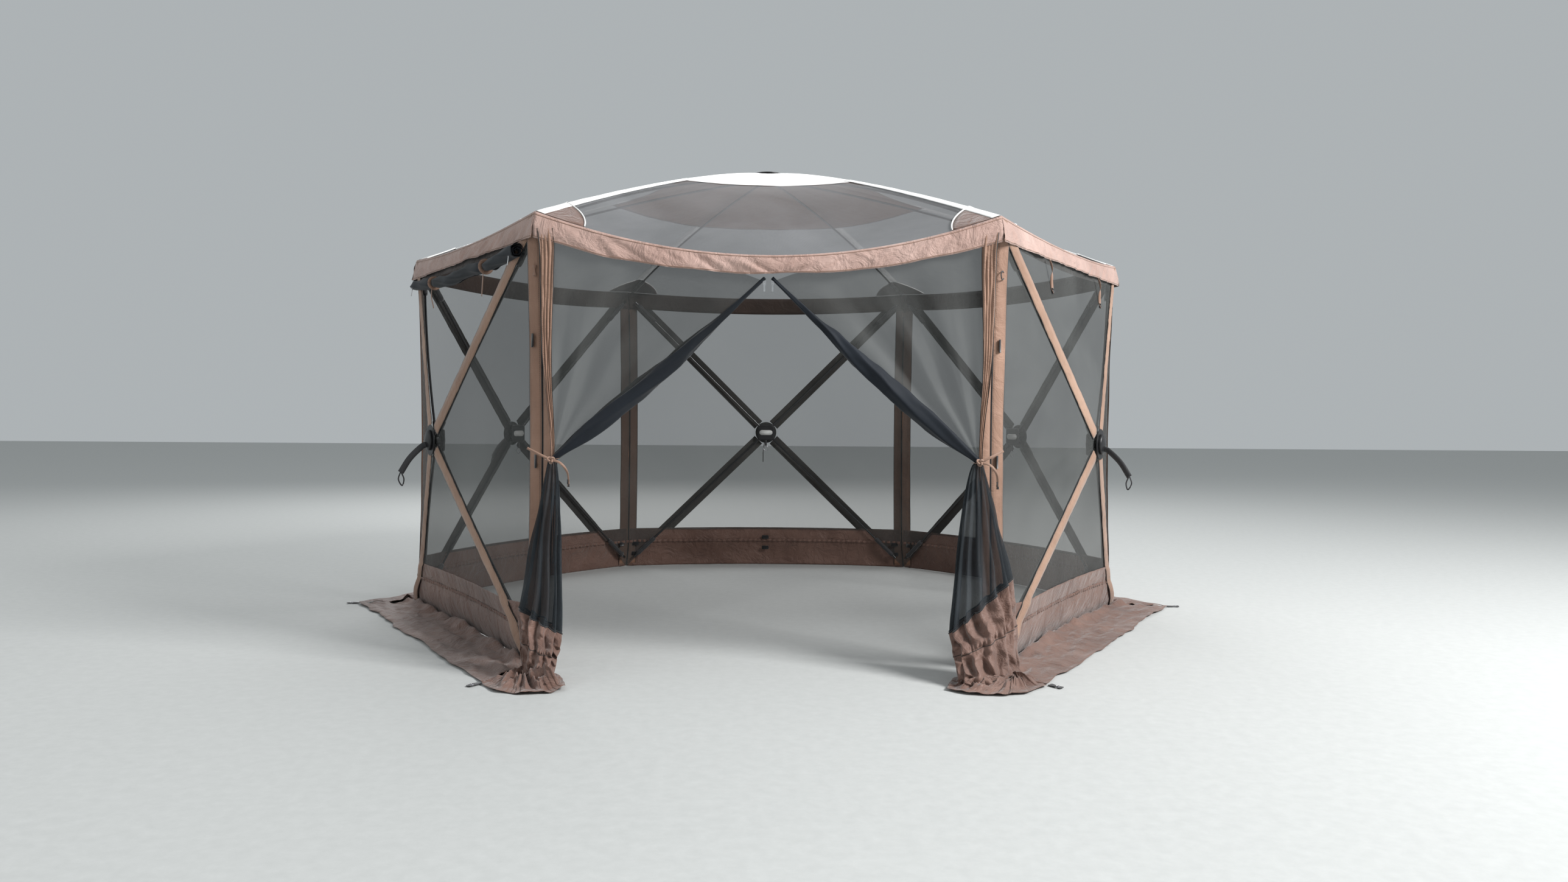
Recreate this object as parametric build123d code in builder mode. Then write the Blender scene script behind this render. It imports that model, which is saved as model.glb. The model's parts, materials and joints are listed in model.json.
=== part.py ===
from build123d import *
from math import atan2, cos, degrees, radians, sin, sqrt, tan
import os

# Six-sided screen house. Five mesh walls each carry a hub with four rods to the
# wall's corners, the roof carries a hub with six ribs, and the sixth side is the door.
# +Z is up, the door faces -Y, and the origin is the middle of the floor.

os.makedirs("parts", exist_ok=True)

# Shelter, in millimetres
side_length = 1830
eave_height = 1800
roof_height = 2270
cap_radius = 820
cap_edge_height = 2100
wall_hub_height = 885
wall_bulge = 170
skirt_height = 250
band_parts = 8
flap_corner_radius = 2140
foot_bow = {"right_back": 120, "back": 130, "left_back": 120, "left_front": -45, "right_front": -45}
apothem = side_length * cos(radians(30))
half_side = side_length / 2

# Cloth
cloth = 1.5
seam_half_width = 32.5
panel_inset = 34
corner_strip_width = 55
corner_gap = 2
strip_foot = 10
window_inset = 25
hub_hole = 110
cap_hole = 90
ridge_inset = 36
rib_strip_width = 68
wall_sag = 35
door_sag = 170
valance_middle = 72
valance_corner = 106
valance_level = 26

# Hubs and their pins
block_radius = 30
block_depth = 24
boss_radius = 18
plate_level = 31
plate_radius = 70
plate_thickness = 3
pin_circle = 42
ear_overlap = 4
pin_radius = 3
pin_head_radius = 4.5
pin_head = 1.5
ear_fit = 0.02
ear_gap = 9.6
ear_thickness = 4
ear_radius = 9
wall_pin_level = wall_bulge - plate_level + 1
roof_pin_level = roof_height - plate_level - plate_thickness

# Rods
seat_gap = 0.1
rod_radius = 5.5
knuckle_fit = 0.05
knuckle_width = 9
knuckle_radius = 8
tongue_length = 22
ferrule_end = 75
tip_cap_length = 30
tip_cap_radius = 7.5
knuckle_overlap = 2
wall_rod_bend = radians(4)
rib_bend = radians(10.4)
tip_from_corner = 75
tip_from_end = 85
tip_behind_wall = 18
rib_tip_radius = 1725

# Door flaps, gathered at the front corners
door_middle = 1530
door_level = -8
door_thickness = 6
flap_from_middle = 8
tie_height = 830
bunch_neck = (24, 14)
bunch_foot = (165, 130)
bunch_from_corner = 95
bunch_lean = 150
cuff_reach = 318
cuff_inner = 175
cuff_thickness = 30

# Tie tapes and the rolled window
tape = 1.5
tape_width = 18
tape_level = 3
window_tie_share = 0.45
hanging_tie_level = 52
roll_radius = 22
roll_half_length = 850
roll_height = 1665
roll_level = 58

# Webbing
strap_width = 25
strap_length = 130
strap_loop = 18
strap_thickness = 1.6
strap_slope = 22
pull_tab_loop = 14
pull_tab_length = 42
pull_tab_drop = 36
tab_length = 65
tab_width = 25
tab_thickness = 3
tab_overlap = 5
grommet_radius = 6
grommet_from_end = 22

# Zipper sliders and their pulls
slider_width = 12
slider_height = 16
slider_depth = 6
slider_from_middle = 16
slider_level = 1
lug_width = 2
lug_rise = 5
bar_radius = 1
bar_fit = 0.05
bar_level = slider_level + slider_depth + lug_rise - 2 * bar_radius
pull_length = 34
pull_width = 7
pull_thickness = 1.2

walls = {"right_back": 30, "back": 90, "left_back": 150, "left_front": 210, "right_front": 330}
door_angle = 270
open_window = "left_front"
ribs = {
    "right": 0,
    "back_right": 60,
    "back_left": 120,
    "left": 180,
    "front_left": 240,
    "front_right": 300,
}


def write(builder, name):
    """Labels a finished piece and writes its STEP file."""
    builder.part.label = name
    export_step(builder.part, f"parts/{name}.step")


def wall_plane(angle):
    """Plane of one side: local x along the wall, local y up, local z outwards."""
    outward = Vector(cos(radians(angle)), sin(radians(angle)), 0)
    along = Vector(-sin(radians(angle)), cos(radians(angle)), 0)
    return Plane(origin=outward * apothem, x_dir=along, z_dir=outward)


def between(start, end, distance):
    """Point that lies a distance along the line from start to end."""
    return start + (end - start).normalized() * distance


def polar(radius, angle, height):
    """Point at a radius from the middle of the floor, an angle from +X and a height."""
    return Vector(radius * cos(radians(angle)), radius * sin(radians(angle)), height)


def cloth_panel(corners, inset):
    """Flat slab of cloth through corners listed anticlockwise from outside, pulled in all round."""
    across = (corners[1] - corners[0]).normalized()
    outward = across.cross(corners[-1] - corners[0]).normalized()
    flat = Plane(origin=corners[0], x_dir=across, z_dir=outward)
    outline = [flat.to_local_coords(corner) for corner in corners]
    with BuildSketch(flat) as profile:
        with BuildLine():
            Polyline([(point.X, point.Y) for point in outline], close=True)
        make_face()
        offset(amount=-inset, kind=Kind.INTERSECTION)
    extrude(profile.sketch, amount=cloth)


def cloth_strip(start, end, outward, width):
    """Straight strip of cloth from start to end, lying square to the outward direction."""
    run = end - start
    along = run.normalized()
    square = (outward - along * outward.dot(along)).normalized()
    with BuildSketch(Plane(origin=start, x_dir=along, z_dir=square)) as profile:
        with Locations((run.length / 2, 0)):
            Rectangle(run.length, width)
    extrude(profile.sketch, amount=cloth)


def flat_piece(plane, level, centre, size, thickness):
    """Rectangle of cloth or tape parallel to a wall, at a level outside the wall's plane."""
    with BuildSketch(plane.offset(level)) as profile:
        with Locations(centre):
            Rectangle(*size)
    extrude(profile.sketch, amount=thickness)


def arm_plane(base, heading):
    """Plane of one hub arm: origin on the pin, local x along the arm, local z along the pin."""
    arm = base.x_dir * cos(radians(heading)) + base.y_dir * sin(radians(heading))
    return Plane(origin=base.origin + arm * pin_circle, x_dir=arm, z_dir=arm.cross(base.z_dir))


def hub_moulding(base, headings):
    """Block, boss through the cloth, outer clamp plate, and a pair of drilled ears for each arm."""
    with BuildSketch(base.offset(-block_depth / 2)) as profile:
        Circle(block_radius)
    extrude(profile.sketch, amount=block_depth)
    with BuildSketch(base) as profile:
        Circle(boss_radius)
    extrude(profile.sketch, amount=plate_level)
    with BuildSketch(base.offset(plate_level)) as profile:
        Circle(plate_radius)
    extrude(profile.sketch, amount=plate_thickness)
    ear_root = pin_circle - block_radius + ear_overlap
    for heading in headings:
        arm = arm_plane(base, heading)
        for level in (ear_gap / 2, -ear_gap / 2 - ear_thickness):
            with BuildSketch(arm.offset(level)) as profile:
                Circle(ear_radius)
                with Locations((-ear_root / 2, 0)):
                    Rectangle(ear_root, 2 * ear_radius)
                Circle(pin_radius + ear_fit, mode=Mode.SUBTRACT)
            extrude(profile.sketch, amount=ear_thickness)


def hub_pins(base, headings):
    """One headed pin through each pair of ears."""
    half = ear_gap / 2 + ear_thickness + seat_gap / 2
    for heading in headings:
        arm = arm_plane(base, heading)
        with BuildSketch(arm) as profile:
            Circle(pin_radius)
        extrude(profile.sketch, amount=half + seat_gap, both=True)
        for level in (half, -half - pin_head):
            with BuildSketch(arm.offset(level)) as profile:
                Circle(pin_head_radius)
            extrude(profile.sketch, amount=pin_head)


def rod_with_ends(arm, tip, bend):
    """Pinned knuckle and ferrule, a rod bowed outwards by a small bend, and a cap at its tip."""
    chord = tip - arm.origin
    along = chord.normalized()
    outward = arm.z_dir.cross(along)
    # The bow's radius is the one that brings the end of its arc to the tip.
    a = 2 - 2 * cos(bend)
    b = 2 * ferrule_end * sin(bend)
    c = ferrule_end**2 - chord.length**2
    bow_radius = (-b + sqrt(b * b - 4 * a * c)) / (2 * a)
    lean = atan2(bow_radius * (1 - cos(bend)), ferrule_end + bow_radius * sin(bend))
    tangent = along * cos(lean) + outward * sin(lean)
    frame = Plane(origin=arm.origin, x_dir=tangent, z_dir=arm.z_dir)
    with BuildSketch(frame.offset(-knuckle_width / 2)) as profile:
        Circle(knuckle_radius)
        with Locations((tongue_length / 2, 0)):
            Rectangle(tongue_length, 2 * knuckle_radius)
        Circle(pin_radius + knuckle_fit, mode=Mode.SUBTRACT)
    extrude(profile.sketch, amount=knuckle_width)
    ferrule_start = tongue_length - knuckle_overlap
    with BuildSketch(Plane(origin=arm.origin + tangent * ferrule_start, z_dir=tangent)) as profile:
        Circle(knuckle_radius)
    extrude(profile.sketch, amount=ferrule_end - ferrule_start - seat_gap)
    with BuildLine(frame) as bow:
        JernArc((ferrule_end, 0), (1, 0), bow_radius, -degrees(bend))
    with BuildSketch(Plane(origin=bow.line @ 0, z_dir=bow.line % 0)) as profile:
        Circle(rod_radius)
    sweep(profile.sketch, path=bow.line)
    end, heading = bow.line @ 1, bow.line % 1
    with BuildSketch(Plane(origin=end + heading * seat_gap, z_dir=heading)) as profile:
        Circle(tip_cap_radius)
    extrude(profile.sketch, amount=tip_cap_length)


def pull_strap(base):
    """Webbing loop on the hub's outer plate and a small pull tab under its inner face."""
    edge = Plane(origin=base.origin, x_dir=base.z_dir, z_dir=base.z_dir.cross(base.y_dir))
    slope = radians(strap_slope)
    reach = strap_length / 2 * cos(slope) + strap_loop / 2
    middle = (plate_level + plate_thickness + seat_gap + reach, -strap_length / 2 * sin(slope))
    with BuildSketch(edge) as profile:
        with Locations(middle):
            SlotCenterToCenter(strap_length, strap_loop, rotation=-strap_slope)
            SlotCenterToCenter(
                strap_length,
                strap_loop - 2 * strap_thickness,
                rotation=-strap_slope,
                mode=Mode.SUBTRACT,
            )
    extrude(profile.sketch, amount=strap_width / 2, both=True)
    with BuildSketch(edge) as profile:
        with Locations((-(block_depth + pull_tab_loop) / 2 - tape, -pull_tab_drop)):
            SlotCenterToCenter(pull_tab_length, pull_tab_loop, rotation=90)
            SlotCenterToCenter(
                pull_tab_length,
                pull_tab_loop - 2 * strap_thickness,
                rotation=90,
                mode=Mode.SUBTRACT,
            )
    extrude(profile.sketch, amount=strap_width / 4, both=True)


def band_slice(plane, level, half, out, bow, part):
    """Level cut through one part of a wall's foot band, whose middle is bowed out."""
    slice_plane = Plane(
        origin=plane.from_local_coords((0, level, 0)), x_dir=plane.x_dir, z_dir=Vector(0, 0, 1)
    )
    width = 2 * half / band_parts
    start = -half + part * width + seat_gap / 2
    end = start + width - seat_gap
    depth_start = out + bow * (1 - (start / half) ** 2)
    depth_end = out + bow * (1 - (end / half) ** 2)
    with BuildSketch(slice_plane) as profile:
        with BuildLine():
            Polyline(
                (start, -depth_start),
                (end, -depth_end),
                (end, -depth_end - cloth),
                (start, -depth_start - cloth),
                close=True,
            )
        make_face()
    return profile.sketch


def ground_flap(angle, bow):
    """Flap on the ground outside one wall, its inner edge along the wall's bowed foot."""
    inner_radius = side_length + 2 * corner_gap
    middle = apothem + bow + 2 * corner_gap
    share = radians(30) - seat_gap / side_length
    with BuildSketch() as profile:
        with BuildLine():
            inner_ends = [polar(inner_radius, angle + turn * degrees(share), 0) for turn in (-1, 1)]
            outer_ends = [
                polar(flap_corner_radius, angle + turn * degrees(share), 0) for turn in (-1, 1)
            ]
            ThreePointArc(inner_ends[0], polar(middle, angle, 0), inner_ends[1])
            Polyline(inner_ends[1], outer_ends[1], outer_ends[0], inner_ends[0])
        make_face()
    extrude(profile.sketch, amount=cloth)


corner_points = {
    "bottom_left": (-half_side, 0),
    "bottom_right": (half_side, 0),
    "top_right": (half_side, eave_height),
    "top_left": (-half_side, eave_height),
}

# The five walls, with their hubs, pins, straps and rods
for wall, angle in walls.items():
    plane = wall_plane(angle)
    apex = plane.from_local_coords((0, wall_hub_height, wall_bulge))
    corners = {
        name: plane.from_local_coords((x, y, 0)) for name, (x, y) in corner_points.items()
    }
    near = {name: between(apex, corner, hub_hole) for name, corner in corners.items()}
    skirt_run = skirt_height / wall_hub_height
    band_left = corners["bottom_left"] + (apex - corners["bottom_left"]) * skirt_run
    band_right = corners["bottom_right"] + (apex - corners["bottom_right"]) * skirt_run

    with BuildPart() as mesh:
        cloth_panel(
            [band_left, band_right, near["bottom_right"], near["bottom_left"]], panel_inset
        )
        for hand, (bottom, top) in {
            1: ("bottom_right", "top_right"),
            -1: ("top_left", "bottom_left"),
        }.items():
            inner = plane.x_dir * -hand * window_inset
            cloth_panel(
                [corners[bottom] + inner, corners[top] + inner, near[top], near[bottom]],
                panel_inset,
            )
        if wall != open_window:
            cloth_panel(
                [near["top_right"], corners["top_right"], corners["top_left"], near["top_left"]],
                panel_inset,
            )
        else:
            roll_start = plane.from_local_coords((-roll_half_length, roll_height, roll_level))
            with BuildSketch(Plane(origin=roll_start, z_dir=plane.x_dir)):
                Circle(roll_radius)
            extrude(amount=2 * roll_half_length)
    write(mesh, f"{wall}_wall")

    base = Plane(
        origin=plane.from_local_coords((0, wall_hub_height, wall_pin_level)),
        x_dir=plane.x_dir,
        z_dir=plane.z_dir,
    )
    tips = {}
    for name, (x, y) in corner_points.items():
        tip_x = x - tip_from_corner if x > 0 else x + tip_from_corner
        tip_y = y - tip_from_end if y > 0 else y + tip_from_end
        tips[name] = (tip_x, tip_y)
    headings = {
        name: degrees(atan2(y - wall_hub_height, x)) for name, (x, y) in tips.items()
    }
    with BuildPart() as hub:
        hub_moulding(base, headings.values())
    write(hub, f"{wall}_hub")
    with BuildPart() as pins:
        hub_pins(base, headings.values())
    write(pins, f"{wall}_hub_pins")
    with BuildPart() as strap:
        pull_strap(base)
    write(strap, f"{wall}_pull_strap")
    for name, (x, y) in tips.items():
        tip = plane.from_local_coords((x, y, -tip_behind_wall))
        with BuildPart() as rod:
            rod_with_ends(arm_plane(base, headings[name]), tip, wall_rod_bend)
        write(rod, f"{wall}_rod_{name}")

# The roof's hub, pins and six ribs
roof_base = Plane.XY.offset(roof_pin_level)
with BuildPart() as roof_hub:
    hub_moulding(roof_base, ribs.values())
write(roof_hub, "roof_hub")
with BuildPart() as roof_pins:
    hub_pins(roof_base, ribs.values())
write(roof_pins, "roof_hub_pins")
for name, angle in ribs.items():
    with BuildPart() as rib:
        rod_with_ends(
            arm_plane(roof_base, angle), polar(rib_tip_radius, angle, eave_height), rib_bend
        )
    write(rib, f"roof_rib_{name}")

# Roof cloth: six mesh gores, the solid cap with its strips over the ribs, and the valance
up = Vector(0, 0, 1)
with BuildPart() as roof_mesh:
    for angle in ribs.values():
        cloth_panel(
            [
                polar(side_length, angle, eave_height),
                polar(side_length, angle + 60, eave_height),
                polar(cap_radius, angle + 60, cap_edge_height),
                polar(cap_radius, angle, cap_edge_height),
            ],
            ridge_inset,
        )
write(roof_mesh, "roof_mesh")

cap_slope = (roof_height - cap_edge_height) / cap_radius
cap_hole_height = roof_height - cap_slope * cap_hole
with BuildPart() as roof_cap:
    for angle in ribs.values():
        cloth_panel(
            [
                polar(cap_radius, angle, cap_edge_height),
                polar(cap_radius, angle + 60, cap_edge_height),
                polar(cap_hole, angle + 60, cap_hole_height),
                polar(cap_hole, angle, cap_hole_height),
            ],
            seat_gap,
        )
        eave_end = polar(side_length, angle, eave_height)
        cap_end = polar(cap_radius, angle, cap_edge_height)
        cloth_strip(
            between(eave_end, cap_end, ridge_inset),
            between(cap_end, eave_end, ridge_inset),
            up,
            rib_strip_width,
        )
write(roof_cap, "roof_cap")

valance_half = (apothem + valance_level) * tan(radians(30)) - corner_gap
with BuildPart() as valance:
    for angle in [*walls.values(), door_angle]:
        sag = door_sag if angle == door_angle else wall_sag
        hem = eave_height - sag - valance_middle
        with BuildSketch(wall_plane(angle).offset(valance_level)):
            with BuildLine():
                upper = ThreePointArc(
                    (-valance_half, eave_height),
                    (0, eave_height - sag),
                    (valance_half, eave_height),
                )
                lower = ThreePointArc(
                    (-valance_half, eave_height - valance_corner),
                    (0, hem),
                    (valance_half, eave_height - valance_corner),
                )
                Line(upper @ 0, lower @ 0)
                Line(upper @ 1, lower @ 1)
            make_face()
        extrude(amount=cloth)
write(valance, "valance")

# Strips over the wall rods, and the pairs of strips that make the six corners
with BuildPart() as seam_strips:
    for angle in walls.values():
        plane = wall_plane(angle)
        apex = plane.from_local_coords((0, wall_hub_height, wall_bulge))
        for x, y in corner_points.values():
            corner = plane.from_local_coords((x, y, 0))
            cloth_strip(
                between(apex, corner, hub_hole),
                between(corner, apex, tip_from_end),
                plane.z_dir,
                2 * seam_half_width,
            )
    for angle in [*walls.values(), door_angle]:
        plane = wall_plane(angle)
        for hand in (-1, 1):
            centre = (
                hand * (half_side - corner_gap - corner_strip_width / 2),
                (eave_height + strip_foot) / 2,
            )
            flat_piece(plane, 0, centre, (corner_strip_width, eave_height - strip_foot), cloth)
write(seam_strips, "seam_strips")

# Skirt: a solid band at the foot of each wall, in lengths short enough to be nearly flat,
# and a flap on the ground outside it
seam_run = panel_inset * sqrt(2)
band_foot = half_side - seam_run
band_head = half_side * (1 - skirt_height / wall_hub_height) - seam_run
band_head_out = wall_bulge * skirt_height / wall_hub_height
with BuildPart() as skirts:
    for wall, angle in walls.items():
        plane = wall_plane(angle)
        bow = foot_bow[wall]
        for part in range(band_parts):
            foot = band_slice(plane, corner_gap, band_foot, 0, bow, part)
            head = band_slice(plane, skirt_height, band_head, band_head_out, 0, part)
            loft([foot, head], ruled=True)
        ground_flap(angle, bow)
write(skirts, "skirts")

# Door flaps, drawn to the front corners and tied back. Below the tie each flap is a bunch
# that leans out over the cuff of its own skirt, which lies gathered on the ground.
door = wall_plane(door_angle)
flap_corner_forward = flap_corner_radius * cos(radians(30)) - apothem
flap_corner_across = flap_corner_radius * sin(radians(30))
for name, hand in {"left": -1, "right": 1}.items():
    post = hand * (half_side - corner_gap - corner_strip_width)
    with BuildPart() as flap:
        with BuildSketch(door.offset(door_level)):
            with BuildLine():
                Polyline(
                    (post, eave_height - tip_from_end),
                    (hand * flap_from_middle, eave_height - door_sag - valance_middle / 2),
                    (hand * flap_from_middle, door_middle),
                    (post - hand * tape_width, tie_height + tape_width),
                    (post, tie_height + tape_width),
                    close=True,
                )
            make_face()
        extrude(amount=door_thickness)
        neck_height = tie_height - tape_width
        neck_level = tape_level + tape + bunch_neck[1] / 2
        neck_place = door.from_local_coords((post, neck_height, neck_level))
        with BuildSketch(Plane(origin=neck_place, x_dir=door.x_dir, z_dir=up)) as neck:
            Rectangle(*bunch_neck)
        foot_place = door.from_local_coords(
            (hand * (half_side - bunch_from_corner), cuff_thickness + corner_gap, bunch_lean)
        )
        with BuildSketch(Plane(origin=foot_place, x_dir=door.x_dir, z_dir=up)) as bunch_base:
            Rectangle(*bunch_foot)
        loft([bunch_base.sketch, neck.sketch], ruled=True)
        cuff_outline = [
            (hand * (half_side - corner_gap), 2 * corner_gap),
            (hand * (flap_corner_across - tab_width), flap_corner_forward - tab_width),
            (hand * half_side, cuff_reach),
            (hand * (half_side - cuff_inner), cuff_reach),
            (hand * (half_side - cuff_inner), bunch_lean / 2),
        ]
        with BuildSketch(Plane(origin=door.origin, x_dir=door.x_dir, z_dir=up)):
            with BuildLine():
                Polyline([(across, -forward) for across, forward in cuff_outline], close=True)
            make_face()
        extrude(amount=cuff_thickness)
    write(flap, f"{name}_door_flap")

# Tie tapes: round the door flaps, over the rolled window and hanging at the closed window
with BuildPart() as ties:
    for hand in (-1, 1):
        post = hand * (half_side - corner_strip_width)
        flat_piece(door, tape_level, (post, tie_height), (2 * corner_strip_width, tape_width), tape)
        tail = (post + hand * corner_strip_width / 2, tie_height - corner_strip_width - tape_width)
        flat_piece(door, tape_level, tail, (tape_width, 2 * corner_strip_width), tape)
    window_ties = {open_window: roll_level + roll_radius + tape, "right_front": hanging_tie_level}
    for wall, level in window_ties.items():
        for hand in (-1, 1):
            hang = (hand * window_tie_share * half_side, roll_height - corner_strip_width)
            flat_piece(
                wall_plane(walls[wall]), level, hang, (tape_width, 2 * corner_strip_width), tape
            )
write(ties, "tie_tapes")

# Webbing tabs on the ground at the six corners, each with a hole for a stake
with BuildPart() as tabs:
    for angle in ribs.values():
        centre_radius = flap_corner_radius - tab_overlap + tab_length / 2
        with BuildSketch(Plane(origin=polar(centre_radius, angle, 2 * cloth), z_dir=up)):
            Rectangle(tab_length, tab_width, rotation=angle)
            with Locations(polar(tab_length / 2 - grommet_from_end, angle, 0)):
                Circle(grommet_radius, mode=Mode.SUBTRACT)
        extrude(amount=tab_thickness)
write(tabs, "stake_tabs")

# Zipper sliders at the top of the door, with a bar that carries each pull
with BuildPart() as sliders:
    for hand in (-1, 1):
        centre_x = hand * slider_from_middle
        flat_piece(
            door, slider_level, (centre_x, door_middle), (slider_width, slider_height), slider_depth
        )
        for edge in (-1, 1):
            lug_x = centre_x + edge * (slider_width - lug_width) / 2
            flat_piece(
                door,
                slider_level + slider_depth,
                (lug_x, door_middle),
                (lug_width, slider_height / 2),
                lug_rise,
            )
        bar_start = door.from_local_coords((centre_x - slider_width / 2, door_middle, bar_level))
        with BuildSketch(Plane(origin=bar_start, z_dir=door.x_dir)):
            Circle(bar_radius)
        extrude(amount=slider_width)
write(sliders, "zip_sliders")

for name, hand in {"left": -1, "right": 1}.items():
    pivot = door.from_local_coords((hand * slider_from_middle, door_middle, bar_level))
    with BuildPart() as pull:
        with BuildSketch(Plane(origin=pivot, x_dir=door.z_dir, z_dir=door.x_dir)):
            Circle(2 * bar_radius)
            with Locations((0, pull_length / 2)):
                Rectangle(pull_thickness, pull_length)
            Circle(bar_radius + bar_fit, mode=Mode.SUBTRACT)
        extrude(amount=pull_width / 2, both=True)
    write(pull, f"{name}_zip_pull")
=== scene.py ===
import json
from math import copysign, cos, exp, hypot, pi, radians, sin, sqrt, tan, tau

import bpy
import numpy as np
from mathutils import Matrix, Vector, noise


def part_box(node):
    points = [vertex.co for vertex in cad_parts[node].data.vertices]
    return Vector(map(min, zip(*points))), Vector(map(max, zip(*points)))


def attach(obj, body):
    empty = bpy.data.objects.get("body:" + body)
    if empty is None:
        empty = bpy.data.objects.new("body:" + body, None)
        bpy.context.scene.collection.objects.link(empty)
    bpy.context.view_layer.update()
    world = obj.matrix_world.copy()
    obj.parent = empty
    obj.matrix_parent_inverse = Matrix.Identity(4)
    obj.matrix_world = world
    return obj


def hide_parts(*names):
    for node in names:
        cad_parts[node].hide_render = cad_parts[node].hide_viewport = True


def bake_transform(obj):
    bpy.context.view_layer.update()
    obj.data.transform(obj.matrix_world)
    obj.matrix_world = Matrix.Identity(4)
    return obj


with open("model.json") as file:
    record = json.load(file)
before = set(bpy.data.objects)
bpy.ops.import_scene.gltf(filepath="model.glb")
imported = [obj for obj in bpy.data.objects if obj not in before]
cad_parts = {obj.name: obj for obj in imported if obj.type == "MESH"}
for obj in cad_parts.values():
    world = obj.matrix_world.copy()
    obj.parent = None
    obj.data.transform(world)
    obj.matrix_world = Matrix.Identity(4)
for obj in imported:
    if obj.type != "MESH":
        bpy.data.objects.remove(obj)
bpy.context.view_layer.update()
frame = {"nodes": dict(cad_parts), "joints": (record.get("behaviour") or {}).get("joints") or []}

# ---- the frame's own sizes
Z = Vector((0, 0, 1))
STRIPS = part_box("seam_strips")
CORNER_RADIUS = STRIPS[1][0]
EAVE = STRIPS[1][2]
HALF = CORNER_RADIUS / 2
COS30 = cos(radians(30))
APOTHEM = CORNER_RADIUS * COS30
HUB_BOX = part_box("back_hub")
HUB_Z = (HUB_BOX[0][2] + HUB_BOX[1][2]) / 2
PLATE_PROUD = 0.004
BULGE = HUB_BOX[1][1] - APOTHEM - PLATE_PROUD
ROOF_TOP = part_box("roof_hub")[1][2] - PLATE_PROUD
FLAP_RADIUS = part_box("skirts")[1][0]
PIVOTS = {j["child"]: Vector(j["pos_m"]) for j in frame["joints"] if j["type"] == "hinge"}
WALLS = {"right_back": 30, "back": 90, "left_back": 150, "left_front": 210, "right_front": 330}
DOOR_ANGLE = 270
RIB_NAMES = ("right", "back_right", "back_left", "left", "front_left", "front_right")
RIB_ANGLES = {name: 60 * k for k, name in enumerate(RIB_NAMES)}

# ---- cloth shapes
CORNER_PULL = 0.024
CORNER_BLUNT = 0.023
FOOT_BOW = {"back": 0.13, "right_back": 0.12, "left_back": 0.12, "left_front": -0.045, "right_front": -0.045}
EAVE_BOW = 0.015
WALL_SAG = 0.035
DOOR_SAG = 0.165
BAND_TOP = 0.25
SEAM_HALF = 0.036
GATHER = 0.165
POST_HALF = 0.060
TIE_HEIGHT = 0.83
DOOR_TOP = 1.53
OUTSIDE = 0.003
CLOTH = 0.0009
TIP_IN, TIP_UP, TIP_BEHIND = 0.075, 0.085, 0.018
RIB_TIP = 1.725


def lerp(a, b, t):
    return a + (b - a) * t


def smooth(t):
    t = min(max(t, 0.0), 1.0)
    return t * t * (3 - 2 * t)


def crease(x, y, seed, stretch=1.0):
    """Noise from -1 to 1, long along x where stretch is over 1."""
    return noise.noise(Vector((x / stretch, y, seed)))


def unit(angle):
    """Level direction at an angle in degrees."""
    turn = radians(angle)
    return Vector((cos(turn), sin(turn), 0))


class Side:
    """One side of the hexagon. point() gives the cloth's surface from metres along and up it."""

    def __init__(self, angle, bulge, sag, ground_bow=0.0):
        self.out = unit(angle)
        self.along = Z.cross(self.out)
        self.middle = self.out * APOTHEM
        self.bulge, self.sag, self.ground_bow = bulge, sag, ground_bow

    def step(self, across, up, forward):
        """Way of so many metres along the side, up, and out from it."""
        return self.along * across + Z * up + self.out * forward

    def reach(self, x, y):
        """How far the point is from the hub (0) to the side's edge (1), across and up."""
        rise = (y - HUB_Z) / (EAVE - HUB_Z) if y > HUB_Z else (HUB_Z - y) / HUB_Z
        return abs(x) / HALF, rise

    def point(self, x, y, lift=0.0):
        across, rise = self.reach(x, y)
        t = max(across, rise)
        out = self.bulge * (1 - t)
        edge = max(0.0, 1 - (HALF - abs(x)) / POST_HALF)
        blunt = CORNER_BLUNT * edge * smooth((EAVE - y) / 0.15) * smooth(y / 0.15)
        x -= copysign(blunt * 0.5, x)
        out -= blunt * COS30
        if across >= rise:
            pull = CORNER_PULL * (t * t - rise * rise)
            x -= copysign(pull * 0.5, x)
            out -= pull * COS30
        elif y > HUB_Z:
            out += EAVE_BOW * (t * t - across * across)
            y -= self.sag * (t * t - across * across)
        else:
            out += self.ground_bow * (t * t - across * across)
        return self.middle + self.along * x + self.out * (out + lift) + Z * y


sides = {name: Side(angle, BULGE, WALL_SAG, FOOT_BOW[name]) for name, angle in WALLS.items()}
door = Side(DOOR_ANGLE, 0.0, DOOR_SAG)
side_at = {**{angle: sides[name] for name, angle in WALLS.items()}, DOOR_ANGLE: door}


# ---- materials
BINDING = 0.004
STITCH_WIDTH = 0.0006
STITCH_LENGTH = 0.004
THREAD = (0.018, 0.014, 0.012, 1)


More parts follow.
